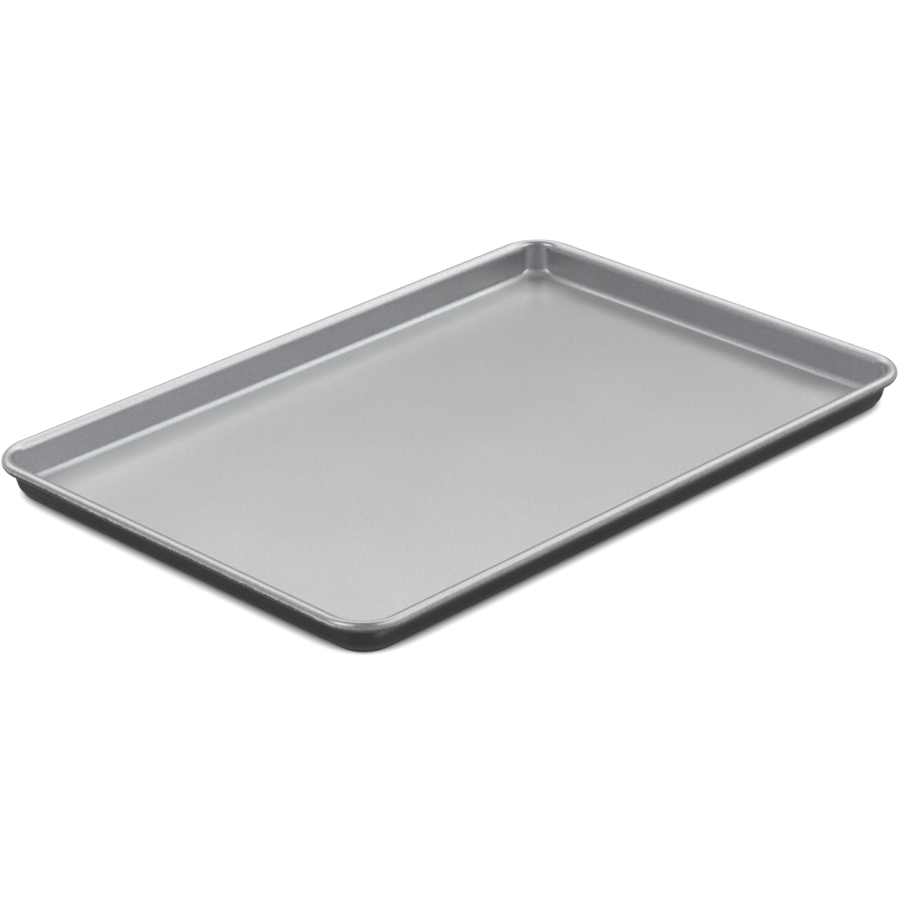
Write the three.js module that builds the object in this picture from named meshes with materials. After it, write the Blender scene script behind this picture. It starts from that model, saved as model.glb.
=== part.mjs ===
// A rimmed baking sheet pan: one pressed steel sheet whose edge is rolled outwards over a steel wire.
// Millimetres, +Z up, +X along the long sides. The origin is the middle of the underside.
import * as THREE from "three";

// Overall sizes
const RIM_LENGTH = 438.5; // over the rolled rim, along X
const RIM_WIDTH = 298.2; // over the rolled rim, along Y
const RIM_CORNER = 27.5; // plan radius of the rim's outermost line
const PAN_HEIGHT = 21.7; // underside to the top of the rolled rim

// Pressed sheet
const SHEET = 0.8; // thickness, coats included
const WALL_LEAN = 7.9; // degrees by which the walls flare from upright
const SHOULDER = 5.6; // outside bend from the wall over to the top of the rim
const FLOOR_FILLET = 4.4; // inside bend between floor and wall
const FLOOR_CORNER = 18; // plan radius of the flat floor's corners
const WALL_CORNER = 12; // plan radius inside the corners of the walls
const CORNER_RISE = 3.5; // how much higher the floor fillet runs out in the middle of a corner

// Rolled rim and its wire
const WIRE_DIAMETER = 3.8;
const WIRE_CLEARANCE = 0.3; // between the wire and the curl round it
const CURL_TURN = 210; // degrees from the top of the rim to the curl's free edge
const WIRE_BUTT = 1; // between the two cut ends of the wire

// Facets
const CORNER_STEPS = 10; // along each rounded corner
const FILLET_STEPS = 6; // across the floor fillet
const SHOULDER_STEPS = 6; // across the bend at the wall's top
const CURL_STEPS = 21; // round the curl
const WIRE_SIDES = 16;

// The section lies in a plane across the rim: x is the distance outwards from the rim's outermost
// line, so it is negative over the pan, and y is the height above the underside.
const lean = THREE.MathUtils.degToRad(WALL_LEAN);
const curlInside = WIRE_DIAMETER / 2 + WIRE_CLEARANCE;
const curlOutside = curlInside + SHEET;
const curlCentre = new THREE.Vector2(-curlOutside, PAN_HEIGHT - curlOutside);
const shoulderCentre = new THREE.Vector2(-curlOutside, PAN_HEIGHT - SHOULDER);

// The wall's inner face is tangent to the shoulder's outside, and its normal points into the pan.
const wallNormal = new THREE.Vector2(-Math.cos(lean), Math.sin(lean));
const wallDown = new THREE.Vector2(-Math.sin(lean), -Math.cos(lean));
const wallTop = shoulderCentre.clone().addScaledVector(wallNormal, SHOULDER);

// The floor fillet touches the wall's inner face and the upper face of the floor.
const filletHeight = SHEET + FLOOR_FILLET;
const wallDrop = (wallTop.y + FLOOR_FILLET * wallNormal.y - filletHeight) / Math.cos(lean);
const filletCentre = wallTop
  .clone()
  .addScaledVector(wallDown, wallDrop)
  .addScaledVector(wallNormal, FLOOR_FILLET);

// Angles of the section's arcs. The shoulder runs from the wall to the top of the rim, and the curl from there
// outwards and round underneath to its free edge.
const shoulderStart = Math.PI - lean;
const rimTop = Math.PI / 2;
const curlEnd = rimTop - THREE.MathUtils.degToRad(CURL_TURN);
const filletFloor = -Math.PI / 2;
const filletWall = -lean;

function arc(centre, radius, from, to, steps) {
  return new THREE.EllipseCurve(centre.x, centre.y, radius, radius, from, to, to < from).getPoints(steps);
}

// The rounded rectangle at a distance outwards from the rim's outermost line. Its corners are concentric with
// the rim's, unless another radius is given.
function outline(outwards, radius = RIM_CORNER + outwards) {
  const halfX = RIM_LENGTH / 2 + outwards - radius;
  const halfY = RIM_WIDTH / 2 + outwards - radius;
  const corners = [
    [halfX, halfY],
    [-halfX, halfY],
    [-halfX, -halfY],
    [halfX, -halfY],
  ];
  return corners.flatMap(([x, y], corner) => {
    const from = (corner * Math.PI) / 2;
    return arc(new THREE.Vector2(x, y), radius, from, from + Math.PI / 2, CORNER_STEPS);
  });
}

// One point of the section, carried round the pan.
function carried(point) {
  return outline(point.x).map((q) => new THREE.Vector3(q.x, q.y, point.y));
}

// A floor fillet of the given radius, from the floor up to the wall. On the straight sides it is round. In the
// corners it runs from the wider radius of the floor's corners to the tighter one of the walls, and ends higher.
function filletLoops(radius) {
  const wallCorner = WALL_CORNER + radius - FLOOR_FILLET;
  return arc(filletCentre, radius, filletFloor, filletWall, FILLET_STEPS).map((point, step) => {
    const up = step / FILLET_STEPS;
    return outline(point.x, THREE.MathUtils.lerp(FLOOR_CORNER, wallCorner, up)).map((q, i) => {
      const along = (i % (CORNER_STEPS + 1)) / CORNER_STEPS;
      return new THREE.Vector3(q.x, q.y, point.y + CORNER_RISE * up * Math.sin(Math.PI * along) ** 2);
    });
  });
}

// A shoulder of the given radius, from the wall over to the top of the rim. In the corners it runs from the
// radius of the walls out to that of the rim.
function shoulderLoops(radius) {
  const wallCorner = WALL_CORNER + SHOULDER - radius;
  const topCorner = RIM_CORNER + shoulderCentre.x;
  return arc(shoulderCentre, radius, shoulderStart, rimTop, SHOULDER_STEPS).map((point, step) =>
    outline(point.x, THREE.MathUtils.lerp(wallCorner, topCorner, step / SHOULDER_STEPS)).map(
      (q) => new THREE.Vector3(q.x, q.y, point.y),
    ),
  );
}

// A solid skinned over loops of equally many points, with a flat end on the first and the last loop.
function skin(loops) {
  const around = loops[0].length;
  const triangles = [];
  for (let row = 0; row + 1 < loops.length; row++)
    for (let i = 0; i < around; i++) {
      const a = row * around + i;
      const b = row * around + ((i + 1) % around);
      triangles.push(a, b, b + around, a, b + around, a + around);
    }
  const last = (loops.length - 1) * around;
  for (let i = 1; i + 1 < around; i++) {
    triangles.push(0, i + 1, i);
    triangles.push(last, last + i, last + i + 1);
  }
  const geometry = new THREE.BufferGeometry().setFromPoints(loops.flat());
  geometry.setIndex(triangles);
  geometry.computeVertexNormals();
  return geometry;
}

// The sheet, from the underside of the floor, up the outside of the wall and over the inside of the shoulder and
// the curl to the free edge, then back over their outside and down the inside of the wall to the floor.
function panBody() {
  return skin([
    ...filletLoops(FLOOR_FILLET + SHEET),
    ...shoulderLoops(SHOULDER - SHEET),
    ...arc(curlCentre, curlInside, rimTop, curlEnd, CURL_STEPS).slice(1).map(carried),
    ...arc(curlCentre, curlOutside, curlEnd, rimTop, CURL_STEPS).map(carried),
    ...shoulderLoops(SHOULDER).reverse().slice(1),
    ...filletLoops(FLOOR_FILLET).reverse(),
  ]);
}

// One length of round wire, bent to the rim's outline at the middle of the curl. Its two ends butt at the
// middle of a long side.
function rimWire() {
  const radius = WIRE_DIAMETER / 2;
  const inner = outline(curlCentre.x - radius);
  const outer = outline(curlCentre.x + radius);
  const cornerPoints = CORNER_STEPS + 1;
  const order = outer.map((_, i) => (i + cornerPoints) % outer.length);
  const end = (line, x) => new THREE.Vector2(x, line[CORNER_STEPS].y);
  const stations = [
    [end(inner, -WIRE_BUTT / 2), end(outer, -WIRE_BUTT / 2)],
    ...order.map((i) => [inner[i], outer[i]]),
    [end(inner, WIRE_BUTT / 2), end(outer, WIRE_BUTT / 2)],
  ];
  const round = arc(new THREE.Vector2(0, 0), 1, 2 * Math.PI, 0, WIRE_SIDES).slice(1);
  return skin(
    stations.map(([near, far]) =>
      round.map((p) => {
        const across = near.clone().lerp(far, (1 + p.x) / 2);
        return new THREE.Vector3(across.x, across.y, curlCentre.y + radius * p.y);
      }),
    ),
  );
}

const silverNonstick = new THREE.MeshStandardMaterial({
  name: "silver_nonstick_steel",
  color: "#b4b5b6",
  roughness: 0.45,
  metalness: 0.6,
});
const galvanisedWire = new THREE.MeshStandardMaterial({
  name: "galvanised_wire",
  color: "#9a9c9e",
  roughness: 0.35,
  metalness: 1,
});

function piece(name, geometry, material) {
  const mesh = new THREE.Mesh(geometry, material);
  mesh.name = name;
  return mesh;
}

const sheetPan = new THREE.Group();
sheetPan.name = "sheet_pan";
sheetPan.add(piece("pan_body", panBody(), silverNonstick));
sheetPan.add(piece("rim_wire", rimWire(), galvanisedWire));

export default sheetPan;
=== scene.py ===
import math

import bmesh
import bpy
from mathutils import Matrix, Vector


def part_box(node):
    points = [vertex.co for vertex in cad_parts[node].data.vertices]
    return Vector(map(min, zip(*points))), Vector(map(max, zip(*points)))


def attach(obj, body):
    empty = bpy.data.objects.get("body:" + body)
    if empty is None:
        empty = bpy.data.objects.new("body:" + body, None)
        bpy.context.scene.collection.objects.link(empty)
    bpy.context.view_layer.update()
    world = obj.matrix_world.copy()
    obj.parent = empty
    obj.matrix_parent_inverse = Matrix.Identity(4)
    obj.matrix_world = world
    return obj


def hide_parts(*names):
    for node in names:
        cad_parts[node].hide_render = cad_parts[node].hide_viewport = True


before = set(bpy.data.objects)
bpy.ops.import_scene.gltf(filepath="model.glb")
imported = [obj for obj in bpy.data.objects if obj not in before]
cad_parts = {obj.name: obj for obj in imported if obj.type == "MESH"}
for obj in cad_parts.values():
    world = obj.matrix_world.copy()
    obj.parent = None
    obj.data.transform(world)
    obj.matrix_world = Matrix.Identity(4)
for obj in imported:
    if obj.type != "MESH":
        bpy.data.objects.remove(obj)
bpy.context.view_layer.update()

# Pan body. One blank of steel sheet, pressed into a flat floor with flared walls, its edge rolled outwards
# over a wire into a round bead. The face that lies inside the pan is carried over the outside of the bead by
# the roll, and the other face of the sheet is the outside of the walls and the underside.
MM = 0.001
SHEET = 0.8 * MM
WALL_LEAN = math.radians(7.9)   # from upright
SHOULDER = 5.6 * MM             # outside bend from the wall over to the top of the rim
FLOOR_FILLET = 4.4 * MM         # inside bend between floor and wall
RIM_CORNER = 27.5 * MM          # plan radius of the rim's outermost line
FLOOR_CORNER = 18 * MM          # plan radius of the flat floor's corners
WALL_CORNER = 12 * MM           # plan radius inside the corners of the walls
CORNER_RISE = 3.5 * MM          # how much higher the fillet runs out in the middle of a corner
RISE_POWER = 3.0                # how late up the fillet most of that rise comes
CURL_TURN = math.radians(210)   # from the top of the rim to the curl's free edge
FLOOR_BORDER = 2 * MM           # flat strip round the floor, which keeps the bend's shading off the floor
CORNER_STEPS = 48
FILLET_STEPS = 12
WALL_STEPS = 8
SHOULDER_STEPS = 16
CURL_STEPS = 48
WELD = 0.01 * MM
CREASE = math.radians(40)

pan_low, pan_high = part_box("pan_body")
wire_low, wire_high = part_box("rim_wire")
rim_length = pan_high.x - pan_low.x
rim_width = pan_high.y - pan_low.y
curl_height = (wire_low.z + wire_high.z) / 2
curl_outside = pan_high.z - curl_height

# The section is drawn with x outwards from the rim's outermost line and y up from the underside.
wall_normal = Vector((-math.cos(WALL_LEAN), math.sin(WALL_LEAN), 0))
wall_down = Vector((-math.sin(WALL_LEAN), -math.cos(WALL_LEAN), 0))
curl_centre = Vector((-curl_outside, curl_height, 0))
shoulder_centre = Vector((-curl_outside, pan_high.z - pan_low.z - SHOULDER, 0))
wall_top = shoulder_centre + SHOULDER * wall_normal
wall_drop = (wall_top.y + FLOOR_FILLET * wall_normal.y - SHEET - FLOOR_FILLET) / math.cos(WALL_LEAN)
fillet_centre = wall_top + wall_drop * wall_down + FLOOR_FILLET * wall_normal


def add(tree, kind, links=None, **settings):
    """Adds a node with its settings. Each link gives an input a value or another node's output."""
    node = tree.nodes.new(kind)
    for name, value in settings.items():
        setattr(node, name, value)
    for name, value in (links or {}).items():
        if isinstance(value, bpy.types.NodeSocket):
            tree.links.new(value, node.inputs[name])
        else:
            node.inputs[name].default_value = value
    return node


def linear(code):
    """An sRGB hex colour as linear RGBA."""
    parts = [int(code[i:i + 2], 16) / 255 for i in (1, 3, 5)]
    return [c / 12.92 if c <= 0.04045 else ((c + 0.055) / 1.055) ** 2.4 for c in parts] + [1]


def new_material(name):
    made = bpy.data.materials.new(name)
    made.use_nodes = True
    made.node_tree.nodes.clear()
    return made, made.node_tree


# Nonstick coat with aluminium flake, sprayed and baked on the upper face of the sheet: a satin silver grey
# with a fine sparkle, drier in the corners of the floor. It runs out on the outside of the bead, in a ragged
# line on the short sides and more gradually on the long ones. Below it the bead is a dark grey that is
# partly where the coat ends and partly painted shade, standing in for the shade and dark reflection on the
# bead's underside.
SILVER = "#dbdcdb"
SILVER_DEEP = "#b4b5b4"
# Dark grey of the bead's underside: partly where the silver ends, partly painted shade.
RIM_SHADE = "#47474a"
FLAKE = 0.9 * MM      # real flakes are finer, and this is as fine as the render shows
FLAKE_FROM = 0.3      # values between which most of the flake noise lies
FLAKE_TO = 0.7
SPECKLE_FROM = 0.1    # shares of the lighter silver that the flakes give
SPECKLE_TO = 0.7
CLOUD = 70 * MM       # slow unevenness of the sprayed coat
CLOUD_TONE = 0.3
SMOOTHEST = 0.31      # roughness of the coat, from flake to flake
ROUGHEST = 0.37
METALLIC = 0.92
SPECULAR = 0.3        # of both coats
FLAKE_BUMP = 0.08
FLAKE_DEPTH = 0.02 * MM
SHORT_SIDE_END = math.radians(85) / CURL_TURN    # share of the curl at which the silver ends
LONG_SIDE_END = math.radians(88) / CURL_TURN
CORNER_LESS = math.radians(8) / CURL_TURN        # and how much sooner in the middle of a corner
SHORT_SIDE_FADE = math.radians(18) / CURL_TURN   # half of the share over which it fades out
LONG_SIDE_FADE = math.radians(55) / CURL_TURN
SCUFF = 1.3 * MM
SCUFF_SHARE = 0.22    # shares of the curl by which that line strays
CLOUD_SHARE = 0.2
SILVER_END_ROUGHER = 0.3
STRAIGHT_FROM = 0.8   # how far an edge faces the long side's way before it counts as that side
HANDLED_ROUGHER = 0.09                           # the bead of the long sides, by which the pan is held
DRY_INSET = 19 * MM   # from the rim to the middle of the dry patch
DRY_NEAR = 6 * MM
DRY_FAR = 45 * MM
DRY_FLAT = 10.0       # how much sooner the patch ends upwards
DRY_ROUGHER = 0.2
silver_coat, tree = new_material("silver_nonstick_coat")
place = add(tree, "ShaderNodeTexCoord").outputs["Object"]
flake = add(tree, "ShaderNodeTexNoise", {"Vector": place, "Scale": 1 / FLAKE, "Detail": 2.0}).outputs["Fac"]
cloud = add(tree, "ShaderNodeTexNoise", {"Vector": place, "Scale": 1 / CLOUD, "Detail": 3.0}).outputs["Fac"]
speckle = add(tree, "ShaderNodeMapRange", {
    "Value": flake, "From Min": FLAKE_FROM, "From Max": FLAKE_TO, "To Min": SPECKLE_FROM,
    "To Max": SPECKLE_TO})
tone = add(tree, "ShaderNodeMath", {0: cloud, 1: CLOUD_TONE, 2: speckle.outputs["Result"]},
           operation="MULTIPLY_ADD")
coat = add(tree, "ShaderNodeMix", {"Factor": tone.outputs[0], "A": linear(SILVER_DEEP), "B": linear(SILVER)},
           data_type="RGBA")
roll = add(tree, "ShaderNodeAttribute", attribute_name="roll").outputs["Fac"]
long_side = add(tree, "ShaderNodeAttribute", attribute_name="long_side").outputs["Fac"]
in_corner = add(tree, "ShaderNodeAttribute", attribute_name="corner").outputs["Fac"]
scuff = add(tree, "ShaderNodeTexNoise", {"Vector": place, "Scale": 1 / SCUFF, "Detail": 3.0}).outputs["Fac"]
ragged = add(tree, "ShaderNodeMath", {0: scuff, 1: SCUFF_SHARE, 2: roll}, operation="MULTIPLY_ADD")
uneven = add(tree, "ShaderNodeMath", {0: cloud, 1: CLOUD_SHARE, 2: ragged.outputs[0]},
             operation="MULTIPLY_ADD")
reached = add(tree, "ShaderNodeMath", {0: in_corner, 1: CORNER_LESS, 2: uneven.outputs[0]},
              operation="MULTIPLY_ADD")
mean_stray = (SCUFF_SHARE + CLOUD_SHARE) / 2
end = add(tree, "ShaderNodeMapRange", {
    "Value": long_side, "To Min": SHORT_SIDE_END + mean_stray, "To Max": LONG_SIDE_END + mean_stray})
past_end = add(tree, "ShaderNodeMath", {0: reached.outputs[0], 1: end.outputs["Result"]},
               operation="SUBTRACT")
fade = add(tree, "ShaderNodeMapRange", {
    "Value": long_side, "To Min": SHORT_SIDE_FADE, "To Max": LONG_SIDE_FADE})
faded = add(tree, "ShaderNodeMath", {0: past_end.outputs[0], 1: fade.outputs["Result"]}, operation="DIVIDE")
# Mask by which the bead's underside turns dark grey, less metallic and rougher: partly where the silver
# ends, partly painted shade.
silver_end_shade = add(tree, "ShaderNodeMapRange", {"Value": faded.outputs[0], "From Min": -1.0, "From Max": 1.0},
           interpolation_type="SMOOTHSTEP").outputs["Result"]
colour = add(tree, "ShaderNodeMix", {"Factor": silver_end_shade, "A": coat.outputs["Result"], "B": linear(RIM_SHADE)},
             data_type="RGBA")
flake_rough = add(tree, "ShaderNodeMapRange", {
    "Value": flake, "From Min": FLAKE_FROM, "From Max": FLAKE_TO, "To Min": SMOOTHEST, "To Max": ROUGHEST})
silver_end_rough = add(tree, "ShaderNodeMath", {0: silver_end_shade, 1: SILVER_END_ROUGHER, 2: flake_rough.outputs["Result"]},
                 operation="MULTIPLY_ADD")
handled = add(tree, "ShaderNodeMapRange", {
    "Value": roll, "From Max": SHORT_SIDE_FADE, "To Max": HANDLED_ROUGHER}, interpolation_type="SMOOTHSTEP")
straight = add(tree, "ShaderNodeMapRange", {"Value": long_side, "From Min": STRAIGHT_FROM},
               interpolation_type="SMOOTHSTEP")
bead_rough = add(tree, "ShaderNodeMath", {
    0: handled.outputs["Result"], 1: straight.outputs["Result"], 2: silver_end_rough.outputs[0]},
    operation="MULTIPLY_ADD")
dry_middle = (rim_length / 2 - DRY_INSET, rim_width / 2 - DRY_INSET, SHEET)
quarter = add(tree, "ShaderNodeVectorMath", {0: place}, operation="ABSOLUTE")
from_dry = add(tree, "ShaderNodeVectorMath", {0: quarter.outputs[0], 1: dry_middle}, operation="SUBTRACT")
flattened = add(tree, "ShaderNodeVectorMath", {0: from_dry.outputs[0], 1: (1, 1, DRY_FLAT)},
                operation="MULTIPLY")
distance = add(tree, "ShaderNodeVectorMath", {0: flattened.outputs[0]}, operation="LENGTH")
dry = add(tree, "ShaderNodeMapRange", {
    "Value": distance.outputs["Value"], "From Min": DRY_FAR, "From Max": DRY_NEAR, "To Max": DRY_ROUGHER},
    interpolation_type="SMOOTHSTEP")
rough = add(tree, "ShaderNodeMath", {0: bead_rough.outputs[0], 1: dry.outputs["Result"]})
metal = add(tree, "ShaderNodeMath", {0: silver_end_shade, 1: -METALLIC, 2: METALLIC}, operation="MULTIPLY_ADD")
bump = add(tree, "ShaderNodeBump", {"Height": flake, "Strength": FLAKE_BUMP, "Distance": FLAKE_DEPTH})
shader = add(tree, "ShaderNodeBsdfPrincipled", {
    "Base Color": colour.outputs["Result"], "Metallic": metal.outputs[0], "Roughness": rough.outputs[0],
    "Specular IOR Level": SPECULAR, "Normal": bump.outputs["Normal"]})
add(tree, "ShaderNodeOutputMaterial", {"Surface": shader.outputs["BSDF"]})

# Outside of the walls and the underside: a dark grey, slightly mottled satin. Its dark grey is painted
# shade, standing in for the shade and dark reflections on the outside of the pan. It is painted paler round
# the foot, painted light that lifts the shade there, and on the long sides the wall is paler just under the
# bead, fading downwards.
# Painted shade: the dark grey of the outside of the pan.
OUTSIDE_SHADE = "#403f3d"
OUTSIDE_SHADE_DEEP = "#2c2b2a"
MOTTLE_FROM = 0.12    # values between which most of the mottle lies
MOTTLE_TO = 0.4
# Painted light: paler round the foot, lifting the shade there.
FOOT_LIGHT = "#767675"
FOOT = 5 * MM
# On the long sides the wall is paler just under the bead, fading downwards.
PALE_BAND = "#868688"
PALE_BAND_TOP = 12.8 * MM
PALE_BAND_END = 8.4 * MM
OUTSIDE_ROUGHNESS = 0.6
GRAIN_BUMP = 0.3
outside_shade_coat, tree = new_material("outside_painted_shade")
place = add(tree, "ShaderNodeTexCoord").outputs["Object"]
grain = add(tree, "ShaderNodeTexNoise", {"Vector": place, "Scale": 1 / FLAKE, "Detail": 3.0}).outputs["Fac"]
cloud = add(tree, "ShaderNodeTexNoise", {"Vector": place, "Scale": 1 / CLOUD, "Detail": 4.0}).outputs["Fac"]
mottle = add(tree, "ShaderNodeMath", {0: grain, 1: cloud}, operation="MULTIPLY")
spread = add(tree, "ShaderNodeMapRange", {
    "Value": mottle.outputs[0], "From Min": MOTTLE_FROM, "From Max": MOTTLE_TO})
mottled = add(tree, "ShaderNodeMix", {
    "Factor": spread.outputs["Result"], "A": linear(OUTSIDE_SHADE_DEEP), "B": linear(OUTSIDE_SHADE)}, data_type="RGBA")
height = add(tree, "ShaderNodeSeparateXYZ", {"Vector": place}).outputs["Z"]
# Painted light round the foot, fading upwards.
foot_light = add(tree, "ShaderNodeMapRange", {"Value": height, "From Min": FOOT, "From Max": 0.0},
             interpolation_type="SMOOTHSTEP")
with_foot = add(tree, "ShaderNodeMix", {
    "Factor": foot_light.outputs["Result"], "A": mottled.outputs["Result"], "B": linear(FOOT_LIGHT)},
    data_type="RGBA")
long_side = add(tree, "ShaderNodeAttribute", attribute_name="long_side").outputs["Fac"]
straight = add(tree, "ShaderNodeMapRange", {"Value": long_side, "From Min": STRAIGHT_FROM},
               interpolation_type="SMOOTHSTEP")
under_bead = add(tree, "ShaderNodeMapRange", {
    "Value": height, "From Min": PALE_BAND_END, "From Max": PALE_BAND_TOP},
    interpolation_type="SMOOTHSTEP")
pale_band_share = add(tree, "ShaderNodeMath", {0: under_bead.outputs["Result"], 1: straight.outputs["Result"]},
              operation="MULTIPLY")
colour = add(tree, "ShaderNodeMix", {
    "Factor": pale_band_share.outputs[0], "A": with_foot.outputs["Result"], "B": linear(PALE_BAND)},
    data_type="RGBA")
bump = add(tree, "ShaderNodeBump", {"Height": grain, "Strength": GRAIN_BUMP, "Distance": FLAKE_DEPTH})
shader = add(tree, "ShaderNodeBsdfPrincipled", {
    "Base Color": colour.outputs["Result"], "Roughness": OUTSIDE_ROUGHNESS, "Specular IOR Level": SPECULAR,
    "Normal": bump.outputs["Normal"]})
add(tree, "ShaderNodeOutputMaterial", {"Surface": shader.outputs["BSDF"]})

# The pan is its section swept round a rounded rectangle, with a flat sheet over the floor. In the corners
# the floor fillet is then drawn in to the wider radius of the floor and raised, as a pressed corner is.
PAN_INPUTS = {
    "Rim Length": ("NodeSocketFloat", rim_length),
    "Rim Width": ("NodeSocketFloat", rim_width),
    "Rim Corner": ("NodeSocketFloat", RIM_CORNER),
    "Sheet": ("NodeSocketFloat", SHEET),
    "Floor Border": ("NodeSocketFloat", FLOOR_BORDER),
    "Floor Corner": ("NodeSocketFloat", FLOOR_CORNER),
    "Wall Corner": ("NodeSocketFloat", WALL_CORNER),
    "Floor Fillet": ("NodeSocketFloat", FLOOR_FILLET),
    "Fillet Centre": ("NodeSocketVector", fillet_centre),
    "Corner Rise": ("NodeSocketFloat", CORNER_RISE),
    "Rise Power": ("NodeSocketFloat", RISE_POWER),
    "Wall Lean": ("NodeSocketFloat", WALL_LEAN),
    "Shoulder": ("NodeSocketFloat", SHOULDER),
    "Shoulder Centre": ("NodeSocketVector", shoulder_centre),
    "Curl Outside": ("NodeSocketFloat", curl_outside),
    "Curl Centre": ("NodeSocketVector", curl_centre),
    "Curl Turn": ("NodeSocketFloat", CURL_TURN),
}
tree = bpy.data.node_groups.new("swept_pan", "GeometryNodeTree")
tree.interface.new_socket("Geometry", in_out="OUTPUT", socket_type="NodeSocketGeometry")
pan_sockets = {name: tree.interface.new_socket(name, in_out="INPUT", socket_type=kind).identifier
               for name, (kind, value) in PAN_INPUTS.items()}
given = add(tree, "NodeGroupInput").outputs

rectangle = add(tree, "GeometryNodeCurvePrimitiveQuadrilateral",
                {"Width": given["Rim Length"], "Height": given["Rim Width"]})
rounded = add(tree, "GeometryNodeFilletCurve", {
    "Curve": rectangle.outputs["Curve"], "Count": CORNER_STEPS, "Radius": given["Rim Corner"]}, mode="POLY")
rim_line = add(tree, "GeometryNodeSetCurveNormal", {"Curve": rounded.outputs["Curve"]}, mode="Z_UP")

# Radii and angles of the section. The wall leans, so the bends at its foot and its top turn by less than a
# quarter.
back_fillet = add(tree, "ShaderNodeMath", {0: given["Floor Fillet"], 1: given["Sheet"]})
back_shoulder = add(tree, "ShaderNodeMath", {0: given["Shoulder"], 1: given["Sheet"]}, operation="SUBTRACT")
curl_inner = add(tree, "ShaderNodeMath", {0: given["Curl Outside"], 1: given["Sheet"]},
                 operation="SUBTRACT")
back_corner = add(tree, "ShaderNodeMath", {0: given["Wall Corner"], 1: given["Sheet"]})
bend_turn = add(tree, "ShaderNodeMath", {0: math.pi / 2, 1: given["Wall Lean"]}, operation="SUBTRACT")
shoulder_start = add(tree, "ShaderNodeMath", {0: math.pi, 1: given["Wall Lean"]}, operation="SUBTRACT")
shoulder_turn = add(tree, "ShaderNodeMath", {0: bend_turn.outputs[0], 1: -1.0}, operation="MULTIPLY")
curl_turn = add(tree, "ShaderNodeMath", {0: given["Curl Turn"], 1: -1.0}, operation="MULTIPLY")
curl_end = add(tree, "ShaderNodeMath", {0: math.pi / 2, 1: given["Curl Turn"]}, operation="SUBTRACT")
lean_back = add(tree, "ShaderNodeMath", {0: given["Wall Lean"], 1: -1.0}, operation="MULTIPLY")
facing = add(tree, "ShaderNodeVectorRotate", {"Vector": (-1, 0, 0), "Angle": lean_back.outputs[0]},
             rotation_type="Z_AXIS")

# Plan radii of the corners along the section, as the amount by which each is wider than one concentric with
# the rim.
fillet_x = add(tree, "ShaderNodeSeparateXYZ", {"Vector": given["Fillet Centre"]}).outputs["X"]
border_x = add(tree, "ShaderNodeMath", {0: fillet_x, 1: given["Floor Border"]}, operation="SUBTRACT")
wider = add(tree, "ShaderNodeMath", {0: given["Floor Corner"], 1: given["Rim Corner"]},
            operation="SUBTRACT")
floor_wider = add(tree, "ShaderNodeMath", {0: wider.outputs[0], 1: fillet_x},
                  operation="SUBTRACT").outputs[0]
along = add(tree, "GeometryNodeSplineParameter").outputs["Factor"]
rising = add(tree, "ShaderNodeMath", {0: along, 1: given["Rise Power"]}, operation="POWER").outputs[0]
falling = add(tree, "ShaderNodeMath", {0: 1.0, 1: along}, operation="SUBTRACT").outputs[0]
here = add(tree, "GeometryNodeInputPosition").outputs["Position"]
here_x = add(tree, "ShaderNodeSeparateXYZ", {"Vector": here}).outputs["X"]
rim_here = add(tree, "ShaderNodeMath", {0: given["Rim Corner"], 1: here_x})
shoulder_x = add(tree, "ShaderNodeSeparateXYZ", {"Vector": given["Shoulder Centre"]}).outputs["X"]
top_corner = add(tree, "ShaderNodeMath", {0: given["Rim Corner"], 1: shoulder_x})
outwards = add(tree, "GeometryNodeInputNormal").outputs["Normal"]
inset = add(tree, "ShaderNodeVectorMath", {0: outwards, "Scale": border_x.outputs[0]}, operation="SCALE")
floor_line = add(tree, "GeometryNodeSetPosition", {
    "Geometry": rim_line.outputs["Curve"], "Offset": inset.outputs[0]})

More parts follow.
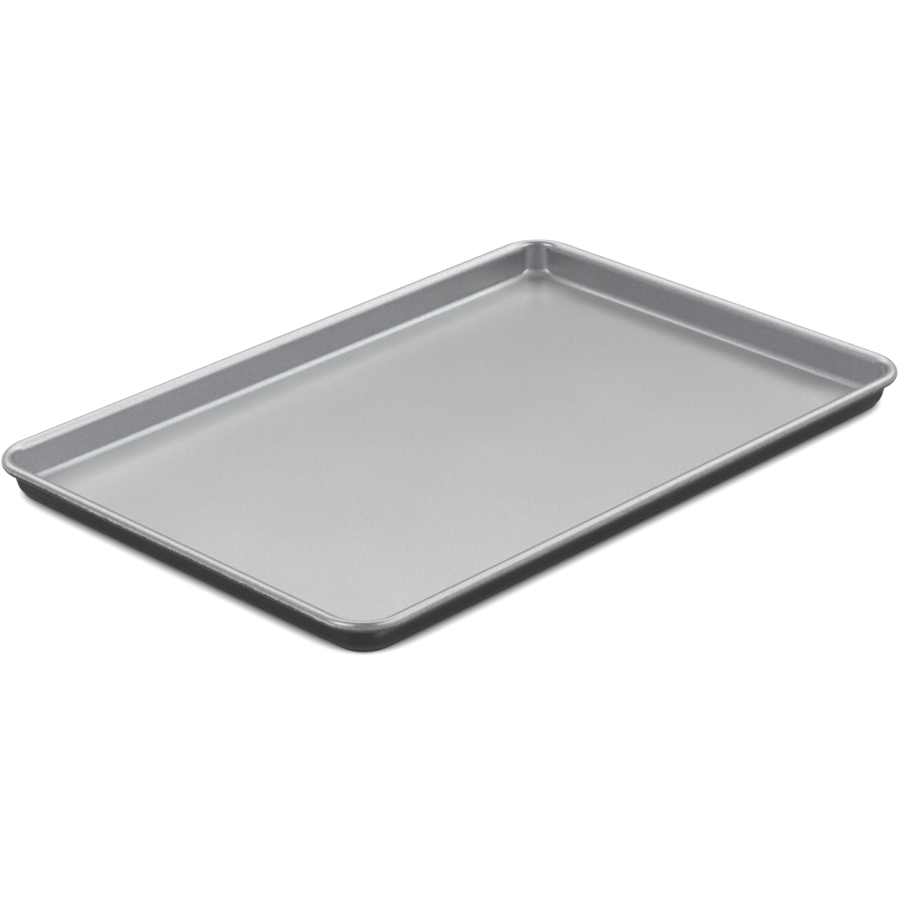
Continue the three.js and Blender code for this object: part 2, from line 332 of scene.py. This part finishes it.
# Both faces of the sheet, each from the floor's border over the bend, the wall and the shoulder to the end
# of the curl.
skins = []
free_edge = []
for outside, fillet_radius, shoulder_radius, curl_radius, wall_corner, floor_height in (
        (False, given["Floor Fillet"], given["Shoulder"], given["Curl Outside"], given["Wall Corner"],
         given["Sheet"]),
        (True, back_fillet.outputs[0], back_shoulder.outputs[0], curl_inner.outputs[0],
         back_corner.outputs[0], 0.0)):
    border_start = add(tree, "ShaderNodeCombineXYZ", {"X": border_x.outputs[0], "Y": floor_height})
    border_end = add(tree, "ShaderNodeCombineXYZ", {"X": fillet_x, "Y": floor_height})
    border = add(tree, "GeometryNodeCurvePrimitiveLine", {
        "Start": border_start.outputs[0], "End": border_end.outputs[0]})
    border = add(tree, "GeometryNodeStoreNamedAttribute", {
        "Geometry": border.outputs["Curve"], "Name": "wider", "Value": floor_wider},
        data_type="FLOAT", domain="POINT")
    bend = add(tree, "GeometryNodeCurveArc", {
        "Resolution": FILLET_STEPS + 1, "Radius": fillet_radius, "Start Angle": -math.pi / 2,
        "Sweep Angle": bend_turn.outputs[0]})
    bend = add(tree, "GeometryNodeTransform", {
        "Geometry": bend.outputs["Curve"], "Translation": given["Fillet Centre"]})
    bend = add(tree, "GeometryNodeStoreNamedAttribute", {
        "Geometry": bend.outputs["Geometry"], "Name": "rise", "Value": rising}, data_type="FLOAT",
        domain="POINT")
    to_foot = add(tree, "ShaderNodeVectorMath", {0: facing.outputs[0], "Scale": fillet_radius},
                  operation="SCALE")
    foot = add(tree, "ShaderNodeVectorMath", {0: given["Fillet Centre"], 1: to_foot.outputs[0]},
               operation="SUBTRACT")
    to_head = add(tree, "ShaderNodeVectorMath", {0: facing.outputs[0], "Scale": shoulder_radius},
                  operation="SCALE")
    head = add(tree, "ShaderNodeVectorMath", {0: given["Shoulder Centre"], 1: to_head.outputs[0]})
    wall = add(tree, "GeometryNodeCurvePrimitiveLine", {"Start": foot.outputs[0], "End": head.outputs[0]})
    wall = add(tree, "GeometryNodeResampleCurve", {"Curve": wall.outputs["Curve"], "Count": WALL_STEPS + 1})
    wall = add(tree, "GeometryNodeStoreNamedAttribute", {
        "Geometry": wall.outputs["Curve"], "Name": "rise", "Value": falling}, data_type="FLOAT",
        domain="POINT")
    shoulder = add(tree, "GeometryNodeCurveArc", {
        "Resolution": SHOULDER_STEPS + 1, "Radius": shoulder_radius,
        "Start Angle": shoulder_start.outputs[0], "Sweep Angle": shoulder_turn.outputs[0]})
    shoulder = add(tree, "GeometryNodeTransform", {
        "Geometry": shoulder.outputs["Curve"], "Translation": given["Shoulder Centre"]})
    curl = add(tree, "GeometryNodeCurveArc", {
        "Resolution": CURL_STEPS + 1, "Radius": curl_radius, "Start Angle": math.pi / 2,
        "Sweep Angle": curl_turn.outputs[0]})
    curl = add(tree, "GeometryNodeStoreNamedAttribute", {
        "Geometry": curl.outputs["Curve"], "Name": "roll", "Value": along}, data_type="FLOAT",
        domain="POINT")
    curl = add(tree, "GeometryNodeTransform", {
        "Geometry": curl.outputs["Geometry"], "Translation": given["Curl Centre"]})
    section = add(tree, "GeometryNodeJoinGeometry")
    for run in (border, curl):
        tree.links.new(run.outputs[0], section.inputs[0])
    for run, corner_start, corner_end in (
            (bend, given["Floor Corner"], wall_corner), (wall, wall_corner, wall_corner),
            (shoulder, wall_corner, top_corner.outputs[0])):
        corner_radius = add(tree, "ShaderNodeMapRange", {
            "Value": along, "To Min": corner_start, "To Max": corner_end})
        wider_here = add(tree, "ShaderNodeMath", {
            0: corner_radius.outputs["Result"], 1: rim_here.outputs[0]}, operation="SUBTRACT")
        run = add(tree, "GeometryNodeStoreNamedAttribute", {
            "Geometry": run.outputs["Geometry"], "Name": "wider", "Value": wider_here.outputs[0]},
            data_type="FLOAT", domain="POINT")
        tree.links.new(run.outputs["Geometry"], section.inputs[0])
    upside = add(tree, "GeometryNodeTransform", {"Geometry": section.outputs[0], "Scale": (1, -1, 1)})
    strip = add(tree, "GeometryNodeCurveToMesh", {
        "Curve": rim_line.outputs["Curve"], "Profile Curve": upside.outputs["Geometry"]})
    floor_lift = add(tree, "ShaderNodeCombineXYZ", {"Z": floor_height})
    floor_sheet = add(tree, "GeometryNodeFillCurve", {"Curve": floor_line.outputs["Geometry"]}, mode="NGONS")
    floor_sheet = add(tree, "GeometryNodeTransform", {
        "Geometry": floor_sheet.outputs["Mesh"], "Translation": floor_lift.outputs[0]})
    floor_sheet = add(tree, "GeometryNodeStoreNamedAttribute", {
        "Geometry": floor_sheet.outputs["Geometry"], "Name": "wider", "Value": floor_wider},
        data_type="FLOAT", domain="POINT")
    skin = add(tree, "GeometryNodeJoinGeometry")
    for part in (strip, floor_sheet):
        tree.links.new(part.outputs[0], skin.inputs[0])
    skins.append(add(tree, "GeometryNodeStoreNamedAttribute", {
        "Geometry": skin.outputs[0], "Name": "outside", "Value": outside}, data_type="BOOLEAN",
        domain="FACE"))
    reach = add(tree, "ShaderNodeCombineXYZ", {"X": curl_radius})
    tip = add(tree, "ShaderNodeVectorRotate", {"Vector": reach.outputs[0], "Angle": curl_end.outputs[0]},
              rotation_type="Z_AXIS")
    free_edge.append(add(tree, "ShaderNodeVectorMath", {0: given["Curl Centre"], 1: tip.outputs[0]}))

# The cut edge of the sheet joins the two faces at the end of the curl.
edge_line = add(tree, "GeometryNodeCurvePrimitiveLine", {
    "Start": free_edge[0].outputs[0], "End": free_edge[1].outputs[0]})
edge_line = add(tree, "GeometryNodeTransform", {"Geometry": edge_line.outputs["Curve"], "Scale": (1, -1, 1)})
edge_strip = add(tree, "GeometryNodeCurveToMesh", {
    "Curve": rim_line.outputs["Curve"], "Profile Curve": edge_line.outputs["Geometry"]})
shell = add(tree, "GeometryNodeJoinGeometry")
for part in (*skins, edge_strip):
    tree.links.new(part.outputs[0], shell.inputs[0])
welded = add(tree, "GeometryNodeMergeByDistance", {"Geometry": shell.outputs[0], "Distance": WELD})

# The pressed corners. Each point moves by its own wider radius about the centre of the rim's corner, and
# rises by the square of the sine of twice its angle there, which is 1 in the middle of the corner.
rim_reach = add(tree, "ShaderNodeCombineXYZ", {"X": given["Rim Length"], "Y": given["Rim Width"]})
centre_inset = add(tree, "ShaderNodeCombineXYZ", {"X": given["Rim Corner"], "Y": given["Rim Corner"]})
half_reach = add(tree, "ShaderNodeVectorMath", {0: rim_reach.outputs[0], "Scale": 0.5}, operation="SCALE")
corner_centre = add(tree, "ShaderNodeVectorMath", {0: half_reach.outputs[0], 1: centre_inset.outputs[0]},
                    operation="SUBTRACT")
folded = add(tree, "ShaderNodeVectorMath", {0: here}, operation="ABSOLUTE")
from_centre = add(tree, "ShaderNodeVectorMath", {0: folded.outputs[0], 1: corner_centre.outputs[0]},
                  operation="SUBTRACT")
in_plan = add(tree, "ShaderNodeVectorMath", {0: from_centre.outputs[0], 1: (1, 1, 0)}, operation="MULTIPLY")
turned_to = add(tree, "ShaderNodeVectorMath", {0: in_plan.outputs[0]}, operation="NORMALIZE")
wider_by = add(tree, "GeometryNodeInputNamedAttribute", {"Name": "wider"}, data_type="FLOAT")
inwards = add(tree, "ShaderNodeVectorMath", {0: turned_to.outputs[0], 1: (1, 1, 0)}, operation="SUBTRACT")
drawn = add(tree, "ShaderNodeVectorMath", {0: inwards.outputs[0], "Scale": wider_by.outputs["Attribute"]},
            operation="SCALE")
signs = add(tree, "ShaderNodeVectorMath", {0: here}, operation="SIGN")
drawn_in = add(tree, "ShaderNodeVectorMath", {0: drawn.outputs[0], 1: signs.outputs[0]},
               operation="MULTIPLY")
turned_xy = add(tree, "ShaderNodeSeparateXYZ", {"Vector": turned_to.outputs[0]}).outputs
half_sine = add(tree, "ShaderNodeMath", {0: turned_xy["X"], 1: turned_xy["Y"]}, operation="MULTIPLY")
quarter_square = add(tree, "ShaderNodeMath", {0: half_sine.outputs[0], 1: half_sine.outputs[0]},
                     operation="MULTIPLY")
in_corner = add(tree, "ShaderNodeMath", {0: quarter_square.outputs[0], 1: 4.0}, operation="MULTIPLY")
rise = add(tree, "GeometryNodeInputNamedAttribute", {"Name": "rise"}, data_type="FLOAT")
rise_here = add(tree, "ShaderNodeMath", {0: rise.outputs["Attribute"], 1: given["Corner Rise"]},
                operation="MULTIPLY")
lift = add(tree, "ShaderNodeMath", {0: rise_here.outputs[0], 1: in_corner.outputs[0]}, operation="MULTIPLY")
raised = add(tree, "ShaderNodeCombineXYZ", {"Z": lift.outputs[0]})
eased = add(tree, "ShaderNodeVectorMath", {0: drawn_in.outputs[0], 1: raised.outputs[0]})
marked = add(tree, "GeometryNodeSetPosition", {"Geometry": welded.outputs[0], "Offset": eased.outputs[0]})
for name, value in (("long_side", turned_xy["Y"]), ("corner", in_corner.outputs[0])):
    marked = add(tree, "GeometryNodeStoreNamedAttribute", {
        "Geometry": marked.outputs["Geometry"], "Name": name, "Value": value}, data_type="FLOAT",
        domain="POINT")
smooth = add(tree, "GeometryNodeSetShadeSmooth", {"Geometry": marked.outputs[0]})
real = add(tree, "GeometryNodeRealizeInstances", {"Geometry": smooth.outputs[0]})
silver = add(tree, "GeometryNodeSetMaterial", {"Geometry": real.outputs[0], "Material": silver_coat})
is_outside = add(tree, "GeometryNodeInputNamedAttribute", {"Name": "outside"}, data_type="BOOLEAN")
dark = add(tree, "GeometryNodeSetMaterial", {
    "Geometry": silver.outputs[0], "Material": outside_shade_coat, "Selection": is_outside.outputs["Attribute"]})
add(tree, "NodeGroupOutput", {"Geometry": dark.outputs[0]})

pan = bpy.data.objects.new("pan_shell", bpy.data.meshes.new("pan_shell"))
bpy.context.scene.collection.objects.link(pan)
sweep = pan.modifiers.new("swept_pan", "NODES")
sweep.node_group = tree
for name, (kind, value) in PAN_INPUTS.items():
    sweep[pan_sockets[name]] = value
depsgraph = bpy.context.evaluated_depsgraph_get()
pan.data = bpy.data.meshes.new_from_object(pan.evaluated_get(depsgraph), preserve_all_data_layers=True,
                                           depsgraph=depsgraph)
pan.modifiers.clear()
closed = bmesh.new()
closed.from_mesh(pan.data)
bmesh.ops.recalc_face_normals(closed, faces=closed.faces)
closed.to_mesh(pan.data)
closed.free()
pan.data.set_sharp_from_angle(angle=CREASE)
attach(pan, "root")
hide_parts("pan_body")

# Rim wire. One length of drawn and galvanised steel wire, a dull grey with a faint spangle, bent to the rim
# and closed in by the roll, so it shows only where the sheet is cut away.
ZINC = "#a3a6a9"
ZINC_DEEP = "#85888b"
SPANGLE = 3 * MM
WIRE_ROUGHNESS = 0.4
zinc, tree = new_material("galvanised_wire")
place = add(tree, "ShaderNodeTexCoord").outputs["Object"]
spangle = add(tree, "ShaderNodeTexVoronoi", {"Vector": place, "Scale": 1 / SPANGLE})
colour = add(tree, "ShaderNodeMix", {
    "Factor": spangle.outputs["Distance"], "A": linear(ZINC), "B": linear(ZINC_DEEP)}, data_type="RGBA")
shader = add(tree, "ShaderNodeBsdfPrincipled", {
    "Base Color": colour.outputs["Result"], "Metallic": 1.0, "Roughness": WIRE_ROUGHNESS})
add(tree, "ShaderNodeOutputMaterial", {"Surface": shader.outputs["BSDF"]})
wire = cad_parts["rim_wire"]
wire.data.materials.clear()
wire.data.materials.append(zinc)

# Studio floor. A plain sweep of white paper, pure white to the camera and in reflections but for the pan's
# shadow on it. The shadow lies where the pan shuts out the light from above. The floor is a grid, because a
# single face of this size shows a faint line along its diagonal.
FLOOR_SIZE = 160.0
FLOOR_CELLS = 81
PAPER = "#e8e8e8"
SHADOW_REACH = 40 * MM  # beyond the rim
SHADOW_SAMPLES = 128
DARK_BELOW = 0.23       # open share of the sky at which the shadow is deepest
WHITE_ABOVE = 0.395     # open share of the sky from which the paper is white
DEEPEST = 0.045
paper, tree = new_material("white_paper")
paper.cycles.emission_sampling = "NONE"
place = add(tree, "ShaderNodeTexCoord").outputs["Object"]
folded = add(tree, "ShaderNodeVectorMath", {0: place}, operation="ABSOLUTE")
past_rim = add(tree, "ShaderNodeVectorMath", {0: folded.outputs[0], 1: (rim_length / 2, rim_width / 2, 0)},
               operation="SUBTRACT")
past_rim_xy = add(tree, "ShaderNodeSeparateXYZ", {"Vector": past_rim.outputs[0]}).outputs
beyond = add(tree, "ShaderNodeMath", {0: past_rim_xy["X"], 1: past_rim_xy["Y"]}, operation="MAXIMUM")
near_pan = add(tree, "ShaderNodeMath", {0: beyond.outputs[0], 1: SHADOW_REACH}, operation="LESS_THAN")
open_sky = add(tree, "ShaderNodeAmbientOcclusion", {"Distance": 2 * SHADOW_REACH}, samples=SHADOW_SAMPLES)
shade = add(tree, "ShaderNodeMapRange", {
    "Value": open_sky.outputs["AO"], "From Min": DARK_BELOW, "From Max": WHITE_ABOVE, "To Min": DEEPEST})
shaded = add(tree, "ShaderNodeEmission", {"Color": (1, 1, 1, 1), "Strength": shade.outputs["Result"]})
white = add(tree, "ShaderNodeEmission", {"Color": (1, 1, 1, 1), "Strength": 1.0})
looked_at = add(tree, "ShaderNodeMixShader", {
    0: near_pan.outputs[0], 1: white.outputs[0], 2: shaded.outputs[0]})
plain = add(tree, "ShaderNodeBsdfDiffuse", {"Color": linear(PAPER)})
ray = add(tree, "ShaderNodeLightPath").outputs
mirrored = add(tree, "ShaderNodeMath", {0: ray["Is Glossy Ray"], 1: ray["Is Transmission Ray"]},
               operation="MAXIMUM")
shown = add(tree, "ShaderNodeMath", {0: ray["Is Camera Ray"], 1: mirrored.outputs[0]}, operation="MAXIMUM")
shader = add(tree, "ShaderNodeMixShader", {
    0: shown.outputs[0], 1: plain.outputs[0], 2: looked_at.outputs[0]})
add(tree, "ShaderNodeOutputMaterial", {"Surface": shader.outputs["Shader"]})
bpy.ops.mesh.primitive_grid_add(x_subdivisions=FLOOR_CELLS, y_subdivisions=FLOOR_CELLS, size=FLOOR_SIZE,
                                location=(0, 0, pan_low.z))
studio_floor = bpy.context.object
studio_floor.name = "studio_floor"
studio_floor.data.materials.append(paper)

# Light. Four soft boxes in a dim pale room: a long one behind the pan, a broad one on the right and two
# smaller ones either side of the camera. The room is darker on the camera's side, low down and overhead.
BOX_DISTANCE = 2.5
SOFT_BOXES = (  # name, azimuth and elevation in degrees, width and height in metres, radiance, colour
    ("soft_box_behind", 140, 46, 5.8, 1.6, 1.1, "#fffff8"),
    ("soft_box_right", 50, 46, 2.7, 1.9, 0.9, "#fcfdff"),
    ("soft_box_front_right", 5, 42, 1.0, 1.6, 1.4, "#fcfdff"),
    ("soft_box_left", 265, 42, 1.3, 1.5, 1.75, "#fcfdff"),
)
for name, azimuth, elevation, width, box_height, radiance, colour in SOFT_BOXES:
    lamp = bpy.data.lights.new(name, "AREA")
    lamp.shape = "RECTANGLE"
    lamp.size = width
    lamp.size_y = box_height
    lamp.energy = radiance * math.pi * width * box_height
    lamp.color = linear(colour)[:3]
    soft_box = bpy.data.objects.new(name, lamp)
    turn = math.radians(azimuth)
    climb = math.radians(elevation)
    away = Vector((math.sin(turn) * math.cos(climb), -math.cos(turn) * math.cos(climb), math.sin(climb)))
    soft_box.location = BOX_DISTANCE * away
    soft_box.rotation_euler = away.to_track_quat("Z", "Y").to_euler()
    bpy.context.scene.collection.objects.link(soft_box)

ROOM = 0.385
ROOM_COLOUR = "#f2f3ff"
DARK_SIDES = (  # direction, cosines between which it darkens, and what is left there
    ((-0.7, -0.7, 0.14), 0.84, 0.98, 0.74),
    ((-0.42, -0.42, 0.8), 0.6, 0.95, 0.42),
)
room = bpy.data.worlds.new("pale_room")
room.use_nodes = True
tree = room.node_tree
tree.nodes.clear()
towards = add(tree, "ShaderNodeTexCoord").outputs["Generated"]
strength = ROOM
for direction, dark_from, dark_to, left_over in DARK_SIDES:
    cosine = add(tree, "ShaderNodeVectorMath", {0: towards, 1: direction}, operation="DOT_PRODUCT")
    dim = add(tree, "ShaderNodeMapRange", {
        "Value": cosine.outputs["Value"], "From Min": dark_from, "From Max": dark_to, "To Min": 1.0,
        "To Max": left_over}, interpolation_type="SMOOTHSTEP")
    dimmed = add(tree, "ShaderNodeMath", {0: strength, 1: dim.outputs["Result"]}, operation="MULTIPLY")
    strength = dimmed.outputs[0]
background = add(tree, "ShaderNodeBackground", {"Color": linear(ROOM_COLOUR), "Strength": strength})
add(tree, "ShaderNodeOutputWorld", {"Surface": background.outputs["Background"]})
bpy.context.scene.world = room
bpy.context.scene.view_settings.view_transform = "Standard"

# Camera. A long lens from above the pan's nearest corner, turned a little to frame the pan as photographed.
AZIMUTH = math.radians(-45.22)
ELEVATION = math.radians(25.54)
DISTANCE = 1914.2 * MM
FOCAL_PIXELS = 3431.2
PICTURE_PIXELS = 900
SENSOR = 36
PAN_LEFT = math.radians(-0.174)
TILT = math.radians(0.1)
ROLL = math.radians(0.757)
lens = bpy.data.cameras.new("camera")
lens.sensor_width = SENSOR
lens.lens = FOCAL_PIXELS / PICTURE_PIXELS * SENSOR
camera = bpy.data.objects.new("camera", lens)
back = Vector((math.sin(AZIMUTH) * math.cos(ELEVATION), -math.cos(AZIMUTH) * math.cos(ELEVATION),
               math.sin(ELEVATION)))
right = Vector((math.cos(AZIMUTH), math.sin(AZIMUTH), 0))
aim = Matrix((right, back.cross(right), back))
tilted = Matrix.Rotation(TILT, 3, "X") @ Matrix.Rotation(PAN_LEFT, 3, "Y") @ aim
turned = Matrix.Rotation(ROLL, 3, "Z") @ tilted
camera.matrix_world = Matrix.Translation(DISTANCE * back) @ turned.transposed().to_4x4()
bpy.context.scene.collection.objects.link(camera)
bpy.context.scene.camera = camera
